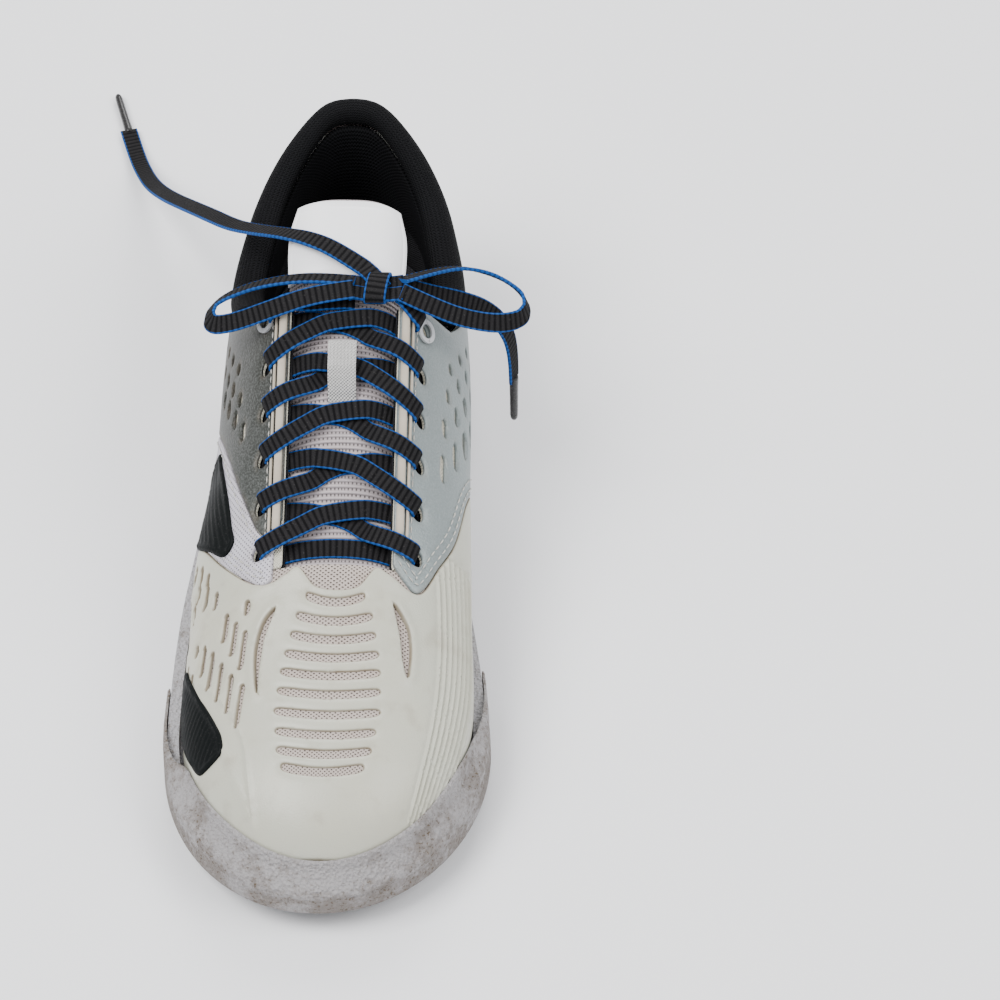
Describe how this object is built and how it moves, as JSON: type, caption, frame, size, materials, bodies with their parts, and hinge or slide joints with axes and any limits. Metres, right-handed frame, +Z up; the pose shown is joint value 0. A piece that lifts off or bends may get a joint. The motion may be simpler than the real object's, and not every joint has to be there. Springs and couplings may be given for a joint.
{
  "type": "court shoe",
  "caption": "Low laced court shoe for the right foot, with a moulded vamp cage, padded collar, free-standing tongue, tied laces and a rubber toe guard.",
  "frame": {"origin": "on the ground plane under the middle of the tread, at the mount sole_rest", "axes": "+Y from toe to heel along the shoe, +X to the medial (big-toe) side, +Z up"},
  "size_m": [0.1736, 0.4094, 0.1217],
  "materials": {
    "outsole": "solid rubber tread",
    "midsole": "moulded foam",
    "toe_guard": "pebbled moulded rubber",
    "shank_plate": "moulded nylon",
    "board": "needled fibre board",
    "sockliner": "soft foam",
    "sockliner_cover": "brushed knit",
    "lining": "spacer knit",
    "stiffener": "heat-formed sheet",
    "mesh": "open mesh",
    "backing": "woven backing",
    "cage": "coated synthetic, matt",
    "band": "perforated synthetic",
    "window": "black film",
    "quarter": "metallic coated synthetic",
    "piping": "rolled cord edge",
    "collar": "black brushed knit",
    "foam": "open-cell foam",
    "tongue": "open mesh",
    "label": "smooth film",
    "loop": "woven tape",
    "ring": "painted ring",
    "lace": "woven polyester with blue edges",
    "aglet": "shrunk sleeve"
  },
  "bodies": {
    "root": {"outsole": "outsole", "midsole": "midsole", "shank_plate": "shank_plate", "toe_guard": "toe_guard", "lasting_board": "board", "vamp_lining": "lining", "toe_puff": "stiffener", "vamp_mesh": "mesh", "vamp_cage": "cage", "forefoot_window": "window", "midfoot_window": "window", "lateral_band": "band", "quarter_lining": "lining", "quarter_backing": "backing", "quarter_medial": "quarter", "quarter_lateral": "quarter", "throat_piping_medial": "piping", "throat_piping_lateral": "piping", "heel_lining": "lining", "heel_counter": "stiffener", "heel_mesh": "mesh", "heel_wrap": "quarter", "collar_foam": "foam", "collar_lining": "collar", "collar_roll": "collar", "eyelet_rings": "ring", "lace_rows": "lace", "lace_knot": "lace", "lace_loop_lateral": "lace", "lace_loop_medial": "lace", "lace_end_lateral": "lace", "lace_end_medial": "lace", "aglet_lateral": "aglet", "aglet_medial": "aglet"},
    "tongue": {"tongue_lining": "lining", "tongue_foam": "foam", "tongue_face": "tongue", "tongue_label": "label", "tongue_loop": "loop"},
    "sockliner": {"sockliner": "sockliner", "sockliner_cover": "sockliner_cover"}
  },
  "joints": [
    {"name": "tongue_tilt", "type": "hinge", "parent": "root", "child": "tongue", "pos_m": [0.0035, -0.0465, 0.058], "axis": [-1, 0, 0], "range_deg": [0, 2]},
    {"name": "sockliner_lift", "type": "hinge", "parent": "root", "child": "sockliner", "pos_m": [0, -0.1424, 0.0214], "axis": [1, 0, 0], "range_deg": [0, 4]}
  ]
}
